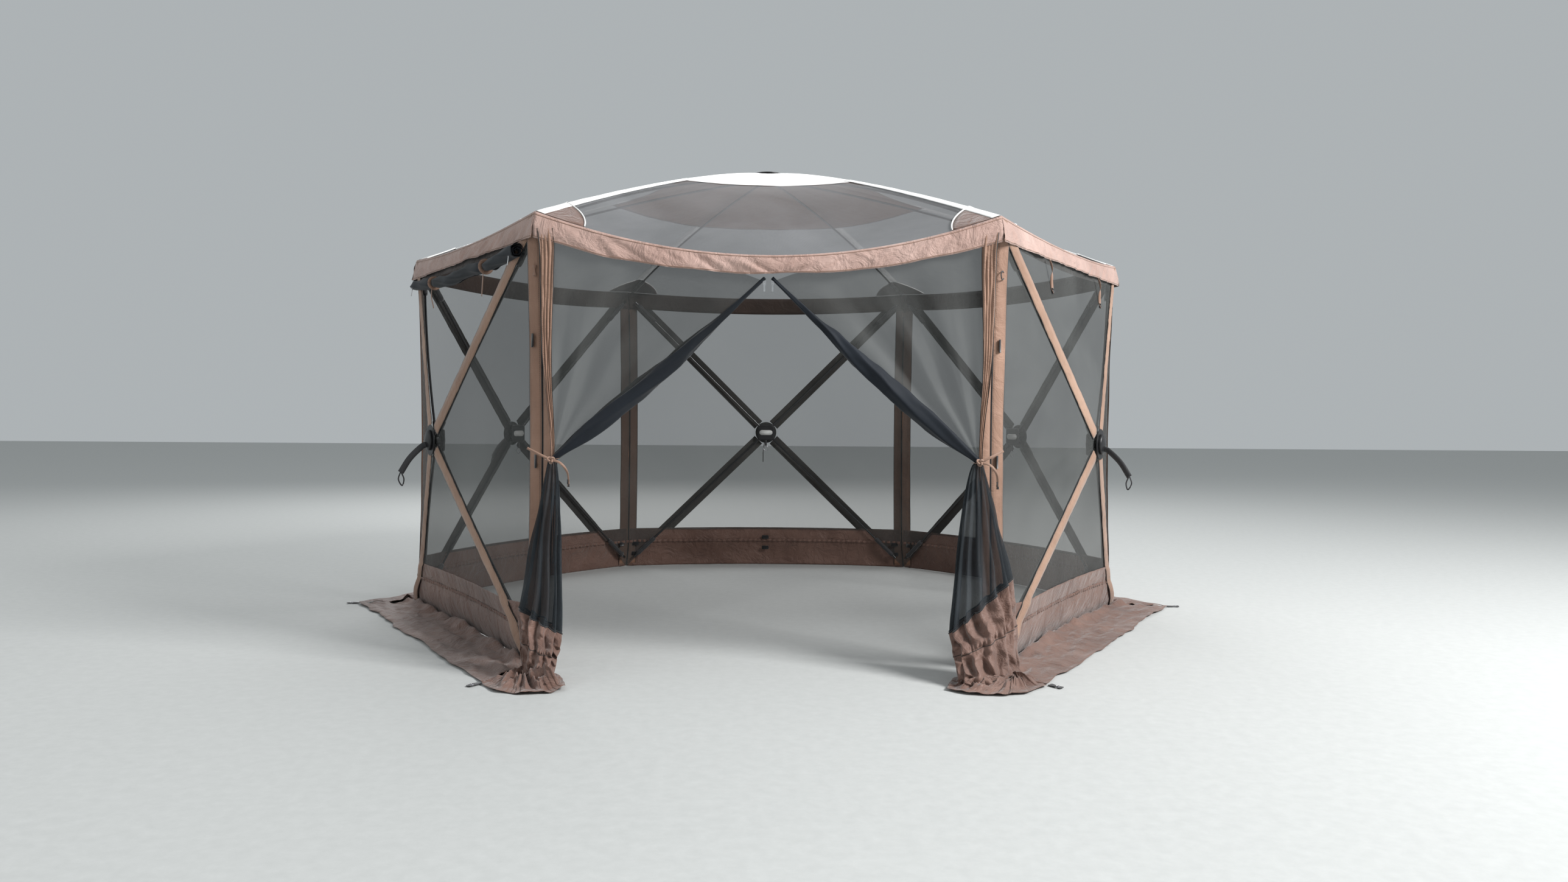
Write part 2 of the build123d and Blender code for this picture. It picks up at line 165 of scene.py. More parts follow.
class Shading:
    """The nodes of one material. A socket given as a value is linked, and a number is set."""

    def __init__(self, name):
        self.material = bpy.data.materials.new(name)
        self.material.use_nodes = True
        self.tree = self.material.node_tree
        self.coords = self.add("TexCoord").outputs

    def feed(self, node, values):
        for key, value in values.items():
            socket = node.inputs[key.replace("_", " ") if isinstance(key, str) else key]
            if isinstance(value, bpy.types.NodeSocket):
                self.tree.links.new(value, socket)
            else:
                socket.default_value = value

    def add(self, kind, *values, **named):
        """New node: values fill its inputs in order, capital names inputs, small ones settings."""
        node = self.tree.nodes.new(f"ShaderNode{kind}")
        for key in [key for key in named if key[0].islower()]:
            setattr(node, key, named.pop(key))
        self.feed(node, {**dict(enumerate(values)), **named})
        return node

    def calc(self, operation, *values):
        return self.add("Math", *values, operation=operation).outputs[0]

    def mix(self, factor, a, b, **settings):
        node = self.add("Mix", data_type="RGBA", **settings)
        self.feed(node, {0: factor, 6: a, 7: b})
        return node.outputs[2]

    def noise(self, scale, detail, **named):
        named.update(Vector=self.coords["Object"], Scale=scale, Detail=detail)
        return self.add("TexNoise", **named).outputs["Fac"]

    def wave(self, **named):
        return self.add("TexWave", Vector=self.coords["UV"], **named).outputs["Fac"]

    def grid(self, **named):
        """Threads both ways."""
        return self.calc("MAXIMUM", *[self.wave(bands_direction=way, **named) for way in "XY"])

    def ramp(self, factor, low, high, start, end):
        node = self.add("ValToRGB", factor)
        for stop, position, colour in zip(node.color_ramp.elements, (start, end), (low, high)):
            stop.position, stop.color = position, (*colour, 1)
        return node.outputs["Color"]

    def bump(self, height, strength, distance, **named):
        node = self.add("Bump", Strength=strength, Distance=distance, Height=height, **named)
        return node.outputs["Normal"]

    def finish(self, **values):
        self.feed(self.tree.nodes["Principled BSDF"], values)
        return self.material


def edge_lines(shading, width, colour):
    """Dark binding along both edges of a strip, and a row of stitches beside it."""
    split = shading.add("SeparateXYZ", shading.coords["UV"]).outputs
    off = shading.calc("ABSOLUTE", shading.calc("SUBTRACT", split["X"], width / 2))
    binding = shading.calc("GREATER_THAN", off, width / 2 - BINDING)
    row = shading.calc("COMPARE", off, width / 2 - 2.2 * BINDING, STITCH_WIDTH)
    dash = shading.calc("PINGPONG", split["Y"], STITCH_LENGTH)
    stitch = shading.calc("MULTIPLY", row, shading.calc("GREATER_THAN", dash, STITCH_LENGTH * 0.35))
    return shading.mix(shading.calc("MAXIMUM", binding, stitch), colour, THREAD)


def cloth_material(
    name, dark, light, roughness, sheen=0.25, crinkle=0.35, weave=0.08, bound_width=None, **more
):
    """Woven polyester: uneven dye, soft crinkles, a ripstop grid and a fine thread bump."""
    shading = Shading(name)
    dye = shading.ramp(shading.noise(2.6, 5.0, Roughness=0.6), dark, light, 0.32, 0.7)
    grid = shading.grid(Scale=48.0, Distortion=0.4, wave_profile="SAW")
    threads = shading.calc("POWER", grid, 9.0)
    colour = shading.mix(threads, dye, (0.86, 0.86, 0.86, 1), blend_type="MULTIPLY")
    if bound_width:
        colour = edge_lines(shading, bound_width, colour)
    normal = shading.bump(shading.noise(900.0, 2.0), weave, 0.0006)
    normal = shading.bump(threads, 0.3, 0.0004, Normal=normal)
    folds = shading.noise(9.0, 6.0, Roughness=0.62, Distortion=1.4)
    return shading.finish(
        Base_Color=colour,
        Normal=shading.bump(folds, crinkle, 0.03, Normal=normal),
        Roughness=roughness,
        Sheen_Weight=sheen,
        Sheen_Roughness=0.5,
        Specular_IOR_Level=0.35,
        **more,
    )


def mesh_material(name, dark, light, thin, thick):
    """See-through netting: a fine square weave that lets light by, a little uneven."""
    shading = Shading(name)
    cloud = shading.noise(1.7, 4.0, Distortion=0.6)
    spread = shading.calc("MULTIPLY_ADD", cloud, 0.3, shading.grid(Scale=100.0))
    cover = shading.add("MapRange", spread, From_Min=0.1, From_Max=1.25, To_Min=thin, To_Max=thick)
    return shading.finish(
        Base_Color=shading.ramp(cloud, dark, light, 0.3, 0.75),
        Alpha=cover.outputs["Result"],
        Roughness=0.7,
        Sheen_Weight=0.10,
        Specular_IOR_Level=0.22,
    )


def hard_material(name, dark, light, roughness, metallic=0.0, coat=0.0, grain=300.0):
    """Moulded plastic, glass fibre or metal with a fine grain and slight wear."""
    shading = Shading(name)
    wear = shading.noise(22.0, 6.0, Roughness=0.7)
    rough = shading.add("MapRange", wear, To_Min=roughness * 0.75, To_Max=min(1.0, roughness * 1.35))
    return shading.finish(
        Base_Color=shading.ramp(wear, dark, light, 0.35, 0.8),
        Roughness=rough.outputs["Result"],
        Normal=shading.bump(shading.noise(grain, 3.0), 0.05, 0.0005),
        Metallic=metallic,
        Coat_Weight=coat,
    )


def webbing_material(name, dark, light):
    """Ribbed woven tape."""
    shading = Shading(name)
    ribs = shading.wave(Scale=120.0, Distortion=1.0, bands_direction="DIAGONAL")
    return shading.finish(
        Base_Color=shading.ramp(ribs, dark, light, 0.2, 0.9),
        Normal=shading.bump(ribs, 0.5, 0.0006),
        Roughness=0.62,
        Sheen_Weight=0.3,
    )


MESH = mesh_material("black_netting", (0.045, 0.047, 0.046), (0.120, 0.124, 0.120), 0.36, 0.60)
ROOF_MESH = mesh_material("grey_netting", (0.13, 0.13, 0.135), (0.24, 0.24, 0.25), 0.42, 0.66)
DOOR_MESH = mesh_material("gathered_netting", (0.010, 0.014, 0.018), (0.045, 0.054, 0.062), 0.50, 0.78)
HEM_MESH = mesh_material("rolled_netting", (0.003, 0.005, 0.008), (0.017, 0.022, 0.031), 0.93, 1.0)
STRIP = cloth_material(
    "tan_strip", (0.26, 0.15, 0.10), (0.40, 0.25, 0.175), 0.62, bound_width=2 * SEAM_HALF
)
POST = cloth_material(
    "tan_post", (0.24, 0.135, 0.09), (0.37, 0.22, 0.155), 0.62, bound_width=POST_HALF
)
# Painted shade: a near-black copy of the tan strip cloth, for faces that lie in shade inside the shelter.
PAINTED_SHADE_CLOTH = cloth_material("strip_lining_painted_shade", (0.022, 0.013, 0.010), (0.050, 0.030, 0.022), 0.6)
POST_LINING = cloth_material(
    "post_lining", (0.26, 0.13, 0.08), (0.38, 0.21, 0.14), 0.6, bound_width=POST_HALF
)
VALANCE = cloth_material("valance_cloth", (0.36, 0.225, 0.185), (0.52, 0.36, 0.31), 0.6, 0.3, 0.7)
BROWN = cloth_material("brown_cloth", (0.120, 0.062, 0.045), (0.225, 0.130, 0.100), 0.5, 0.3, 0.7)
WHITE = cloth_material("white_cloth", (0.80, 0.79, 0.77), (0.93, 0.92, 0.90), 0.5, 0.1, 0.12)
LIT_WHITE = cloth_material(
    "lit_strip", (0.80, 0.79, 0.77), (0.93, 0.92, 0.90), 0.5, 0.1, 0.12,
    Subsurface_Weight=1.0, Subsurface_Radius=(1.0, 1.0, 1.0), Subsurface_Scale=0.01,
)
LINING = cloth_material("cap_lining", (0.29, 0.15, 0.10), (0.40, 0.23, 0.165), 0.6)
WEBBING = webbing_material("black_webbing", (0.008, 0.008, 0.009), (0.04, 0.04, 0.044))
TAPE = webbing_material("tan_tape", (0.20, 0.11, 0.07), (0.36, 0.22, 0.16))
PATCH = cloth_material("hook_and_loop", (0.006, 0.006, 0.007), (0.02, 0.02, 0.022), 0.95, 0.4, 0.1, 0.6)
PLASTIC = hard_material("hub_plastic", (0.008, 0.008, 0.009), (0.022, 0.022, 0.024), 0.38)
FIBRE = hard_material("glass_fibre", (0.004, 0.004, 0.005), (0.012, 0.012, 0.014), 0.16, coat=0.6)
STEEL = hard_material("pin_steel", (0.42, 0.42, 0.44), (0.62, 0.62, 0.64), 0.3, metallic=1.0)
SILVER = hard_material("zip_metal", (0.62, 0.62, 0.63), (0.82, 0.82, 0.83), 0.18, metallic=1.0)
LABEL = hard_material("label_plate", (0.62, 0.62, 0.60), (0.8, 0.8, 0.78), 0.35)
FINISHES = {
    "mesh": (MESH, DOOR_MESH, HEM_MESH),
    "roof_mesh": (ROOF_MESH,),
    "tan_cloth": (STRIP, POST, TAPE),
    "valance_cloth": (VALANCE,),
    "brown_cloth": (BROWN, LINING),
    "white_cloth": (WHITE, LIT_WHITE, LABEL),
    "webbing": (WEBBING, PATCH),
    "hub_plastic": (PLASTIC,),
    "fibreglass": (FIBRE,),
    "pin_steel": (STEEL,),
    "zip_metal": (SILVER,),
}
SLOTS = {material: slot for slot, materials in FINISHES.items() for material in materials}


# ---- mesh builders
def add_object(name, data):
    obj = bpy.data.objects.new(name, data)
    bpy.context.collection.objects.link(obj)
    return obj


def make(name, points, faces, material, uvs, thickness=0.0, inside=None):
    data = bpy.data.meshes.new(name)
    data.from_pydata([tuple(p) for p in points], [], faces)
    data.validate()
    layer = data.uv_layers.new(name="UVMap")
    for loop in data.loops:
        layer.data[loop.index].uv = uvs[loop.vertex_index]
    for polygon in data.polygons:
        polygon.use_smooth = True
    data.materials.append(material)
    obj = add_object(name, data)
    if thickness:
        solid = obj.modifiers.new("thickness", "SOLIDIFY")
        solid.thickness, solid.offset = thickness, 0.0
        if inside:
            data.materials.append(inside)
            solid.material_offset = 1
    return obj


def surface(
    name, place, nu, nv, material, size=(1.0, 1.0), thickness=0.0, round_u=False, inside=None
):
    """Grid sheet from place(u, v) with u and v from 0 to 1. size gives the UVs in metres.

    Its outer face is the one that du x dv points out of, and inside is the other face's material.
    """
    columns = nu if round_u else nu + 1
    points, uvs, faces = [], [], []
    for j in range(nv + 1):
        for i in range(columns):
            u, v = i / nu, j / nv
            points.append(place(u, v))
            uvs.append((u * size[0], v * size[1]))
    for j in range(nv):
        for i in range(nu):
            k = (i + 1) % columns if round_u else i + 1
            a, b = j * columns + i, j * columns + k
            faces.append((a, b, b + columns, a + columns))
    return make(name, points, faces, material, uvs, thickness, inside)


def spline(points, count):
    """Smooth line through the given points, as count + 1 points."""
    ends = [2 * points[0] - points[1], *points, 2 * points[-1] - points[-2]]
    line = []
    for k in range(count + 1):
        place = k / count * (len(points) - 1)
        i = min(int(place), len(points) - 2)
        t = place - i
        a, b, c, d = ends[i : i + 4]
        bend = 2 * b + (c - a) * t + (2 * a - 5 * b + 4 * c - d) * t * t
        line.append(0.5 * (bend + (3 * b - a - 3 * c + d) * t * t * t))
    return line


def straight(points, count):
    """Straight runs between points, as count + 1 points."""
    line = []
    for k in range(count + 1):
        place = k / count * (len(points) - 1)
        i = min(int(place), len(points) - 2)
        line.append(lerp(points[i], points[i + 1], place - i))
    return line


def path_length(path):
    return sum((after - before).length for before, after in zip(path, path[1:]))


def heading(path, i):
    return (path[min(i + 1, len(path) - 1)] - path[max(i - 1, 0)]).normalized()


def circle(centre, across, up, count):
    """Closed ring of count + 1 points. across and up are its two radii as directions."""
    turns = [tau * k / count for k in range(count + 1)]
    return [centre + across * cos(t) + up * sin(t) for t in turns]


def tube(name, path, radius, material, around=10, squash=1.0, flat=None):
    """Round or oval tube along a list of points, closed at both ends."""
    points, faces, uvs = [], [], []
    length = 0.0
    for i, p in enumerate(path):
        ahead = heading(path, i)
        guide = flat if flat is not None else (Z if abs(ahead.z) < 0.9 else Vector((1, 0, 0)))
        across = ahead.cross(guide).normalized()
        other = across.cross(ahead).normalized()
        r = radius(i / (len(path) - 1)) if callable(radius) else radius
        if i:
            length += (p - path[i - 1]).length
        for k in range(around):
            turn = tau * k / around
            points.append(p + across * r * cos(turn) + other * r * squash * sin(turn))
            uvs.append((k / around * tau * r, length))
    for i in range(len(path) - 1):
        for k in range(around):
            a, b = i * around + k, i * around + (k + 1) % around
            faces.append((a, b, b + around, a + around))
    faces.append(tuple(reversed(range(around))))
    last = (len(path) - 1) * around
    faces.append(tuple(range(last, last + around)))
    return make(name, points, faces, material, uvs)


def ribbon(name, path, width, facing, material, thickness):
    """Flat tape along a list of points, its width square to the path and the facing direction."""
    rows = []
    for i, p in enumerate(path):
        face = facing(i / (len(path) - 1)) if callable(facing) else facing
        rows.append((p, heading(path, i).cross(face).normalized()))
    count = len(path) - 1

    def place(u, v):
        p, across = rows[round(v * count)]
        return p + across * width * (u - 0.5)

    return surface(name, place, 2, count, material, (width, path_length(path)), thickness)


def patch(name, centre, along, size, material, thickness, corner=0.2):
    """Small upright rounded plate, such as a hook-and-loop patch, lying on cloth."""
    out = along.cross(Z).normalized()
    rim = []
    radius = min(size) * corner
    for cx, cy, start in ((1, 1, 0), (-1, 1, 90), (-1, -1, 180), (1, -1, 270)):
        for k in range(4):
            turn = radians(start + 30 * k)
            x = cx * (size[0] / 2 - radius) + radius * cos(turn)
            rim.append((x, cy * (size[1] / 2 - radius) + radius * sin(turn)))
    count = len(rim)
    points = [centre + along * x + Z * y + out * z for z in (0, thickness) for x, y in rim]
    faces = [(i, (i + 1) % count, count + (i + 1) % count, count + i) for i in range(count)]
    faces += [tuple(reversed(range(count))), tuple(range(count, 2 * count))]
    return make(name, points, faces, material, rim * 2)


# ---- each cloth point's share between its sewn edge and its hub (worked out, not applied)
def set_follow(obj, start, end, share):
    """Bakes the cloth's transform and works out each point's share, even from the sewn edge to its hub as
    for stretched cloth over a moving rod; the shares are not applied.
    """
    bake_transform(obj)
    weights = [min(max(share(v.co), 0.0), 1.0) for v in obj.data.vertices]


def follow_wall(obj, wall):
    """Shares of the cloth over the rods behind it, which turn about their tips near the corners; nothing
    applies them.
    """
    side = sides[wall]
    pin = PIVOTS[f"{wall}_rod_top_right"] - side.middle
    pin_reach = abs(pin.dot(side.along)) / HALF
    tip_reach = 1 - TIP_IN / HALF

    def share(co):
        across, rise = side.reach((co - side.middle).dot(side.along), co.z)
        return (tip_reach - max(across, rise)) / (tip_reach - pin_reach)

    set_follow(obj, side.point(HALF, HUB_Z), side.point(0, HUB_Z), share)


def hex_radius(co):
    return max(co.dot(side.out) for side in side_at.values()) / COS30


def follow_roof(obj):
    pin_radius = hypot(PIVOTS["roof_rib_right"].x, PIVOTS["roof_rib_right"].y)
    set_follow(
        obj,
        Vector((CORNER_RADIUS, 0, EAVE)),
        Vector((0, 0, ROOF_TOP)),
        lambda co: (RIB_TIP - hex_radius(co)) / (RIB_TIP - pin_radius),
    )


# ---- camera, light and floor
SENSOR = 36.0
FOCAL = 0.76382 * SENSOR
camera_data = bpy.data.cameras.new("camera")
camera_data.sensor_width, camera_data.lens = SENSOR, FOCAL
camera = add_object("camera", camera_data)
CAMERA_PLACE = Vector((-0.015, -6.317, 1.022))
CAMERA_PITCH, CAMERA_YAW, CAMERA_ROLL = 0.024, 0.017, 0.007
camera.matrix_world = (
    Matrix.Translation(CAMERA_PLACE)
    @ Matrix.Rotation(-CAMERA_YAW, 4, "Z")
    @ Matrix.Rotation(pi / 2 - CAMERA_PITCH, 4, "X")
    @ Matrix.Rotation(CAMERA_ROLL, 4, "Z")
)
bpy.context.scene.camera = camera

FLOOR_WIDTH = 60.0
FLOOR_PAINT = hard_material("floor_paint", (0.50, 0.51, 0.50), (0.56, 0.57, 0.56), 0.85, grain=40.0)


def floor_place(u, v):
    return Vector((FLOOR_WIDTH * (u - 0.5), FLOOR_WIDTH * (v - 0.5), -0.0005))


surface("floor", floor_place, 2, 2, FLOOR_PAINT)

world = bpy.data.worlds.new("studio")
world.use_nodes = True
sky = world.node_tree.nodes["Background"].inputs
sky["Color"].default_value = (0.60, 0.64, 0.66, 1)
sky["Strength"].default_value = 0.70
bpy.context.scene.world = world
bpy.context.scene.view_settings.view_transform = "Standard"


def area_light(name, place, target, size, power):
    data = bpy.data.lights.new(name, "AREA")
    data.shape, data.size, data.energy = "SQUARE", size, power
    turn = (target - place).to_track_quat("-Z", "Y").to_matrix().to_4x4()
    add_object(name, data).matrix_world = Matrix.Translation(place) @ turn


area_light("key", Vector((6.5, -5.0, 6.0)), Vector((0, 0, 0.9)), 3.0, 1150)
area_light("fill", Vector((-6.5, -4.5, 4.0)), Vector((0, 0, 0.9)), 5.0, 60)
area_light("rim", Vector((-1.5, 7.0, 6.5)), Vector((0, 0, 1.2)), 5.0, 380)

# ---- hard CAD nodes keep their shape
for name, node in frame["nodes"].items():
    if name.endswith("_hub_pins"):
        material = STEEL
    elif name.endswith("_hub"):
        material = PLASTIC
    elif "_rod_" in name or "roof_rib" in name:
        material = FIBRE
    elif "zip" in name:
        material = SILVER
    else:
        continue
    node.data.materials.clear()
    node.data.materials.append(material)

# ---- wall netting
INNER = 0.035


def facet_point(side, facet, u, t):
    """Point of one of a wall's four panels. u runs across it and t from the hub to its edge."""
    w = 2 * u - 1
    if facet == "bottom":
        return side.point(w * t * HALF, HUB_Z * (1 - t))
    if facet == "top":
        return side.point(w * t * HALF, HUB_Z + t * (EAVE - HUB_Z))
    hand = 1 if facet == "right" else -1
    rise = w * t * (EAVE - HUB_Z if w > 0 else HUB_Z)
    return side.point(hand * t * HALF, HUB_Z + rise)


def netting(wall, facet):
    side = sides[wall]
    end = (HUB_Z - BAND_TOP + 0.012) / HUB_Z if facet == "bottom" else 1.0
    seed = WALLS[wall] + len(facet)

    def place(u, v):
        t = lerp(INNER, end, v)
        p = facet_point(side, facet, u, t)
        free = 4 * u * (1 - u) * t
        ripple = 0.005 * crease(u * 5, v * 7, seed, 0.6) + 0.003 * crease(u * 16, v * 3, seed)
        return p - side.out * (0.012 * free * (1 - t)) + side.out * free * ripple

    obj = surface(f"{wall}_net_{facet}", place, 36, 30, MESH, (2 * HALF, HUB_Z))
    follow_wall(obj, wall)
    return obj


for wall in WALLS:
    facets = ["bottom", "left", "right"] + ([] if wall == "left_front" else ["top"])
    made = [netting(wall, facet) for facet in facets]
    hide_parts(f"{wall}_wall")

# ---- strips over the rods
CORNERS = {"bottom_left": (-1, -1), "bottom_right": (1, -1), "top_right": (1, 1), "top_left": (-1, 1)}


def rod_strip(wall, corner):
    side, (hx, hy) = sides[wall], CORNERS[corner]
    reach_y = EAVE - HUB_Z if hy > 0 else HUB_Z
    length = hypot(HALF, reach_y)
    dx, dy = hx * HALF / length, hy * reach_y / length
    seed = WALLS[wall] + hx * 3 + hy

    def place(u, v):
        t = lerp(0.055, 0.985, v)
        off = (1 - 2 * u) * SEAM_HALF
        x, y = dx * t * length - dy * off, HUB_Z + dy * t * length + dx * off
        x = max(-HALF, min(HALF, x))
        y = max(0.0, min(EAVE, y))
        lift = OUTSIDE + 0.0035 * (1 - (2 * u - 1) ** 2)
        lift += 0.0022 * crease(u * 2, v * 16, seed, 0.5) + 0.0015 * crease(u * 6, v * 50, seed)
        lift += 0.006 * smooth((BAND_TOP - y) / 0.02)
        lift += 0.014 * sin(pi * min(y / GATHER, 1.0))
        return side.point(x, y, lift)

    name, size = f"{wall}_strip_{corner}", (2 * SEAM_HALF, length)
    # The strip's inner face is painted near-black as shade.
    obj = surface(name, place, 8, 90, STRIP, size, CLOTH, inside=PAINTED_SHADE_CLOTH)
    follow_wall(obj, wall)
    return obj


strips = [rod_strip(wall, corner) for wall in WALLS for corner in CORNERS]
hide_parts("seam_strips")


# ---- corner posts
def corner_point(angle, off, y, lift):
    """Point on the cloth at a corner: off is metres round it, to the left side first."""
    before, after = side_at[(angle - 30) % 360], side_at[(angle + 30) % 360]
    if off < 0:
        return before.point(HALF + off, y, lift)
    return after.point(-HALF + off, y, lift)


DOOR_EDGE = 0.050
SEAM_GAP = 0.0001


def corner_post(name, part, low, high):
    """Half of a corner's pair of strips, from low to high metres round the corner."""
    angle = RIB_ANGLES[name]

    def place(u, v):
        off, y = lerp(low, high, u), lerp(0.012, EAVE - 0.01, v)
        fold = 0.0035 * sin(pi * u) + 0.0030 * crease(u * 2, v * 9, angle, 0.7)
        lift = (OUTSIDE + 0.0015 + fold) * smooth(abs(off) / 0.012)
        return corner_point(angle, off, y, lift)

    size = (POST_HALF, EAVE)
    post = surface(f"{name}_post_{part}", place, 8, 80, POST, size, CLOTH, inside=POST_LINING)
    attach(post, "fabric")


for name, angle in RIB_ANGLES.items():
    corner_post(name, "a", -DOOR_EDGE if name == "front_right" else -POST_HALF, -SEAM_GAP)
    corner_post(name, "b", SEAM_GAP, DOOR_EDGE if name == "front_left" else POST_HALF)
    path = [corner_point(angle, 0.0, EAVE * k / 60, 0) + unit(angle) * 0.0025 for k in range(1, 60)]
    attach(tube(f"{name}_post_piping", path, 0.003, PATCH, 8), "fabric")

# ---- skirt: band, gather and flap
GATHER_DEPTH = 0.016


def band_point(side, x, y, seed):
    wave = 0.004 * crease(x * 7, y * 10, seed, 0.8) + 0.003 * crease(x * 30, y * 6, seed)
    belly = 0.012 * sin(pi * min(y / GATHER, 1))
    return side.point(x, y, OUTSIDE + 0.001 + wave + belly)


def ground_point(side, x, f, seed):
    """Point of the flap that lies on the ground, f from the wall's foot to the outer edge."""
    foot = side.point(x, 0.0, OUTSIDE + 0.012)
    outer_apothem = FLAP_RADIUS * COS30
    edge = 0.018 * crease(x * 3, 1, seed) + 0.012 * crease(x * 11, 2, seed)
    outer = side.out * (outer_apothem + edge - 0.008) + side.along * x * outer_apothem / APOTHEM
    p = lerp(foot, outer, f)
    rise = 0.016 + 0.020 * crease(x * 4, f * 5, seed, 1.0) + 0.012 * crease(x * 14, f * 9, seed)
    fold = 0.022 * exp(-((f - 0.12) / 0.1) ** 2) * (1 + crease(x * 6, 0, seed + 4))
    p.z = max(0.0015, (rise * (1 - 0.6 * f) + fold) * smooth(f * 9) + 0.0015)
    return p


def skirt(wall):
    """One wall's band, its foot with a gather above it, and the flap on the ground."""
    side, seed, width, hub = sides[wall], WALLS[wall] * 1.7, 2 * HALF, f"{wall}_hub"

    def upper(u, v):
        return band_point(side, lerp(-HALF, HALF, u) * 0.998, lerp(GATHER, BAND_TOP, v), seed)

    def lower(u, v):
        return band_point(side, lerp(-HALF, HALF, u) * 0.998, lerp(0.002, GATHER, v), seed)

    def flap(u, v):
        return ground_point(side, lerp(-HALF, HALF, u), v, seed)

    def gather(face, hand):
        def place(u, v):
            x = lerp(-HALF, HALF, u) * 0.997
            lift = 0.004 + 0.004 * sin(x * 190 + 3 * crease(x * 5, 0, seed))
            lift += 0.003 * crease(x * 40, v, seed)
            y = GATHER + GATHER_DEPTH * (v - 0.5) + 0.003 * crease(x * 9, 1, seed)
            return side.point(x, y, OUTSIDE + hand * lift)

        size = (width, GATHER_DEPTH)
        return surface(f"{wall}_gather_{face}", place, 260, 4, BROWN, size, CLOTH)

    size = (width, BAND_TOP - GATHER)
    band = surface(f"{wall}_band", upper, 120, 8, BROWN, size, CLOTH)
    foot = surface(f"{wall}_band_foot", lower, 120, 14, BROWN, (width, GATHER), CLOTH)
    gathers = [gather("outer", 1), gather("inner", -1)]
    for piece in (band, foot, *gathers):
        follow_wall(piece, wall)
    ground = surface(f"{wall}_ground_flap", flap, 120, 26, BROWN, (width, 0.33), CLOTH)
    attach(ground, "fabric")
    return ground


flaps = {wall: skirt(wall) for wall in sides}
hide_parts("skirts")

# ---- roof
RISE = ROOF_TOP - EAVE
ROOF_POWER = 1.27
CAP_RADIUS = 0.82
CAP_HOLE = 0.022
PATCH_REACH = 0.19
RIB_STRIP = (0.068, 1.1)


def rib_height(rho):
    """Height of the cloth over a rib at a radius from the middle."""
    return ROOF_TOP - RISE * (rho / CORNER_RADIUS) ** ROOF_POWER


def roof_point(angle, s, rho, lift=0.0):
    """Point of one gore. angle is its middle, s runs from -1 to 1 between ribs."""
    side = side_at[angle % 360]
    hollow = 1 - s * s
    share = rho / CORNER_RADIUS
    sag = side.sag * share**3.2 + 0.012 * sin(pi * share)
    out = side.out * (rho * COS30 + EAVE_BOW * hollow * share**3)
    return out + side.along * (s * rho / 2) + Z * (rib_height(rho) - sag * hollow + lift)


def on_roof(angle, rho, off, lift):
    """Point on the roof beside the rib at an angle: off is metres to its left."""
    hand = 1 if off >= 0 else -1
    s = -hand * (1 - 2 * min(abs(off), rho / 2) / rho)
    return roof_point(angle + 30 * hand, s, rho, lift)


def roof_gore(angle):
    def place(u, v):
        s, rho = 1 - 2 * u, lerp(CAP_RADIUS - 0.01, CORNER_RADIUS, v)
        ripple = 0.004 * crease(u * 6, v * 4, angle, 0.8) * (1 - s * s)
        return roof_point(angle, s, rho, ripple)

    net = surface(f"roof_net_{angle}", place, 40, 30, ROOF_MESH, (2 * HALF, 1.0))
    follow_roof(net)
    return net


def cap_place(u, v):
    turn = (1 - u) * 6
    k = min(int(turn), 5)
    s = 2 * (turn - k) - 1
    rho = lerp(CAP_HOLE, CAP_RADIUS, v)
    pucker = 0.0025 * crease(u * 40, v * 5, 3) * v + 0.004 * crease(u * 12, v * 4, 8) * v
    p = roof_point((30 + 60 * k) % 360, s, rho, 0.003 + pucker * (1 - s * s))
    p.z = min(p.z, ROOF_TOP - 0.0015)
    return p


def roof_strip(name, angle):
    def place(u, v):
        off, rho = RIB_STRIP[0] * (0.5 - u), lerp(CAP_RADIUS - 0.05, CORNER_RADIUS - 0.004, v)
        return on_roof(angle, rho, off, 0.005 + 0.001 * crease(u * 3, v * 20, angle))

    strip = surface(f"roof_strip_{name}", place, 8, 60, WHITE, RIB_STRIP, CLOTH, inside=LIT_WHITE)
    follow_roof(strip)


def corner_patch(name, angle, hand):
    """Half of the rounded brown patch at a roof corner, edged with pale piping."""

    def place(u, v, lift=0.0035):
        turn = radians(60 * u)
        reach = PATCH_REACH * v
        rho = CORNER_RADIUS - 0.004 - reach * cos(turn)
        off = reach * sin(turn) / COS30
        return on_roof(angle, min(rho + off / 2, CORNER_RADIUS), hand * off, lift)

    label = "a" if hand < 0 else "b"
    cloth = surface(f"roof_patch_{name}_{label}", place, 12, 8, BROWN, (0.17, 0.17), CLOTH)
    follow_roof(cloth)
    rim = [place(k / 24, 1.0, 0.006) for k in range(25)]
    piping = tube(f"roof_patch_rim_{name}_{label}", rim, 0.0032, WHITE, 8)
    follow_roof(piping)


gores = {angle: roof_gore(angle) for angle in side_at}
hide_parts("roof_mesh")
size = (4.0, CAP_RADIUS)
cap = surface("roof_cap_cloth", cap_place, 96, 30, WHITE, size, 0.0012, inside=LINING)
follow_roof(cap)
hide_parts("roof_cap")
for name, angle in RIB_ANGLES.items():
    roof_strip(name, angle)
    for hand in (-1, 1):
        corner_patch(name, angle, hand)


# ---- valance and header
def valance_depth(s):
    return lerp(0.074, 0.104, abs(s) ** 1.6)


